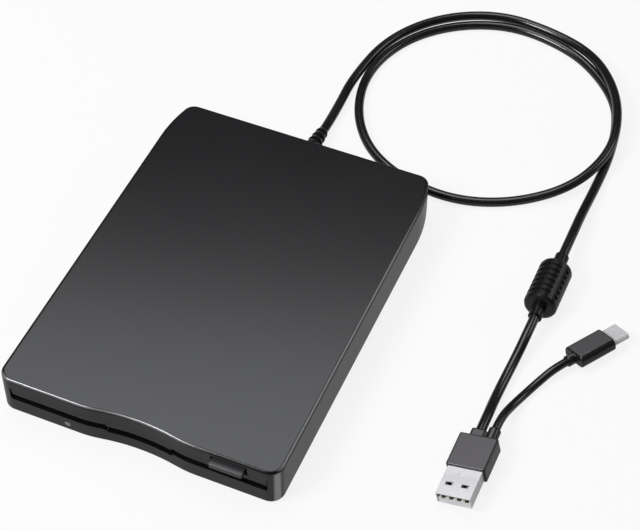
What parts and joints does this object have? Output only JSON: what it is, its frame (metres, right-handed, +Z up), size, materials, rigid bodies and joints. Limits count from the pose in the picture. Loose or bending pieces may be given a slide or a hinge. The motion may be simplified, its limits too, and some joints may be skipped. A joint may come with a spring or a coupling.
{
  "type": "external floppy disk drive",
  "caption": "Slim black external floppy disk drive with dust door, sprung eject button and working loader, on a looped cord with ferrite bead and two USB plugs.",
  "frame": {"origin": "on the floor under the middle of the drive, button nose included, between the four feet", "axes": "+X to the drive's right seen from the front, +Y from the front face to the cord end, +Z up; the disk goes in along +Y"},
  "size_m": [0.1866, 0.256, 0.017],
  "materials": {
    "case_plastic": "satin, fine grain",
    "base_plastic": "fine grain",
    "foot_rubber": "matt",
    "black_screw": "blackened",
    "light_pipe": "frosted",
    "board_green": "solder resist",
    "led_body": "moulded",
    "zinc_sheet": "zinc plated",
    "bright_screw": "zinc plated",
    "tin_sheet": "tinplate",
    "door_spring_wire": "drawn wire",
    "spring_wire": "drawn wire",
    "motor_board": "solder resist",
    "coil_copper": "enamelled copper wire",
    "bearing_bronze": "sintered",
    "motor_can": "plated",
    "bush_bronze": "sintered",
    "rod_steel": "ground",
    "clip_plastic": "moulded",
    "sensor_plastic": "moulded",
    "control_board_green": "solder resist",
    "chip_black": "moulded",
    "usb_board_green": "solder resist",
    "usb_chip_black": "moulded",
    "socket_plastic": "moulded nylon",
    "wire_skins": "vinyl",
    "flat_cable_film": "film",
    "relief_vinyl": "satin vinyl",
    "cord_vinyl": "glossy vinyl",
    "bead_vinyl": "satin moulding",
    "cord_vinyl_low": "glossy vinyl",
    "cord_vinyl_branch": "glossy vinyl",
    "plug_a_vinyl": "satin vinyl",
    "plug_a_steel": "nickel plated",
    "plug_a_white": "moulded",
    "contact_gold": "gold plated",
    "plug_c_vinyl": "satin vinyl",
    "plug_c_steel": "nickel plated",
    "plug_c_black": "moulded",
    "door_plastic": "fine grain",
    "slider_sheet": "zinc plated",
    "button_plastic": "satin",
    "carrier_sheet": "zinc plated",
    "pin_steel": "turned",
    "post_steel": "turned",
    "lever_plastic": "moulded acetal",
    "magnet": "bonded magnet",
    "rotor_steel": "plated",
    "hub_steel": "ground",
    "shaft_steel": "ground",
    "drive_pin_steel": "ground",
    "screw_steel": "turned",
    "carriage_plastic": "glass filled",
    "arm_pin_steel": "ground",
    "lower_head_ceramic": "polished",
    "arm_plastic": "glass filled",
    "upper_head_ceramic": "polished",
    "plunger_a": "moulded acetal",
    "plunger_b": "moulded acetal",
    "plunger_c": "moulded acetal"
  },
  "bodies": {
    "drive": {"top_cover": "case_plastic", "bottom_cover": "base_plastic", "rubber_feet": "foot_rubber", "cover_screws": "black_screw", "led_window": "light_pipe", "led_board": "board_green", "led": "led_body", "chassis_frame": "zinc_sheet", "chassis_screws": "bright_screw", "top_shield": "tin_sheet", "door_spring": "door_spring_wire", "slider_springs": "spring_wire", "stator_board": "motor_board", "stator_coils": "coil_copper", "spindle_bearing": "bearing_bronze", "stepper_motor": "motor_can", "screw_bearing": "bush_bronze", "guide_rod": "rod_steel", "rod_clips": "clip_plastic", "sensor_block": "sensor_plastic", "control_board": "control_board_green", "control_chips": "chip_black", "usb_board": "usb_board_green", "usb_chip": "usb_chip_black", "cable_socket": "socket_plastic", "cord_wires": "wire_skins", "flat_cable": "flat_cable_film", "strain_relief": "relief_vinyl", "cord_upper": "cord_vinyl", "ferrite_bead": "bead_vinyl", "cord_lower": "cord_vinyl_low", "cord_branch": "cord_vinyl_branch", "usb_a_overmold": "plug_a_vinyl", "usb_a_shell": "plug_a_steel", "usb_a_tongue": "plug_a_white", "usb_a_contacts": "contact_gold", "usb_c_overmold": "plug_c_vinyl", "usb_c_shell": "plug_c_steel", "usb_c_tongue": "plug_c_black"},
    "door": {"dust_door": "door_plastic"},
    "slider": {"eject_slider": "slider_sheet", "eject_button": "button_plastic"},
    "carrier": {"disk_carrier": "carrier_sheet", "carrier_pins": "pin_steel", "lever_post": "post_steel"},
    "lever": {"shutter_lever": "lever_plastic"},
    "rotor": {"rotor_magnet": "magnet", "spindle_rotor": "rotor_steel", "spindle_hub": "hub_steel", "spindle_shaft": "shaft_steel", "drive_pin": "drive_pin_steel"},
    "screw": {"lead_screw": "screw_steel"},
    "carriage": {"head_carriage": "carriage_plastic", "arm_pin": "arm_pin_steel", "lower_head": "lower_head_ceramic"},
    "arm": {"head_arm": "arm_plastic", "upper_head": "upper_head_ceramic"},
    "write_protect_plunger": {"write_protect_pin": "plunger_a"},
    "disk_in_plunger": {"disk_in_pin": "plunger_b"},
    "density_plunger": {"density_pin": "plunger_c"}
  },
  "joints": [
    {"name": "door_hinge", "type": "hinge", "parent": "drive", "child": "door", "pos_m": [0, -0.0663, 0.0146], "axis": [1, 0, 0], "range_deg": [0, 84], "stiffness_Nm_per_rad": 0.0004, "springref_deg": -17.19},
    {"name": "eject_slide", "type": "slide", "parent": "drive", "child": "slider", "axis": [0, -1, 0], "range_m": [0, 0.0046], "stiffness_N_per_m": 250, "springref_m": -0.002},
    {"name": "carrier_drop", "type": "slide", "parent": "drive", "child": "carrier", "axis": [0, 0, -1], "range_m": [0, 0.002]},
    {"name": "shutter_lever_hinge", "type": "hinge", "parent": "carrier", "child": "lever", "pos_m": [-0.015, 0.037, 0.0118], "axis": [0, 0, -1], "range_deg": [0, 74], "stiffness_Nm_per_rad": 0.002, "springref_deg": -22.92},
    {"name": "spindle", "type": "hinge", "parent": "drive", "child": "rotor", "pos_m": [0, -0.0144, 0.004], "axis": [0, 0, 1], "continuous": true},
    {"name": "head_travel", "type": "slide", "parent": "drive", "child": "carriage", "axis": [0, -1, 0], "range_m": [0, 0.015]},
    {"name": "lead_screw_turn", "type": "hinge", "parent": "drive", "child": "screw", "pos_m": [0.017, 0.045, 0.0088], "axis": [0, 1, 0], "range_deg": [0, 1800]},
    {"name": "head_arm_hinge", "type": "hinge", "parent": "carriage", "child": "arm", "pos_m": [0, 0.052, 0.0134], "axis": [1, 0, 0], "range_deg": [0, 8.6]},
    {"name": "write_protect_plunger_slide", "type": "slide", "parent": "drive", "child": "write_protect_plunger", "axis": [0, 0, -1], "range_m": [0, 0.001], "stiffness_N_per_m": 120, "springref_m": -0.001},
    {"name": "disk_in_plunger_slide", "type": "slide", "parent": "drive", "child": "disk_in_plunger", "axis": [0, 0, -1], "range_m": [0, 0.001], "stiffness_N_per_m": 120, "springref_m": -0.001},
    {"name": "density_plunger_slide", "type": "slide", "parent": "drive", "child": "density_plunger", "axis": [0, 0, -1], "range_m": [0, 0.001], "stiffness_N_per_m": 120, "springref_m": -0.001}
  ],
  "couplings": [
    {"joint": "carrier_drop", "follows": "eject_slide", "ratio": 0.43478},
    {"joint": "head_arm_hinge", "follows": "eject_slide", "rad_per_m": 32.63},
    {"joint": "lead_screw_turn", "follows": "head_travel", "rad_per_m": 2094.4}
  ]
}
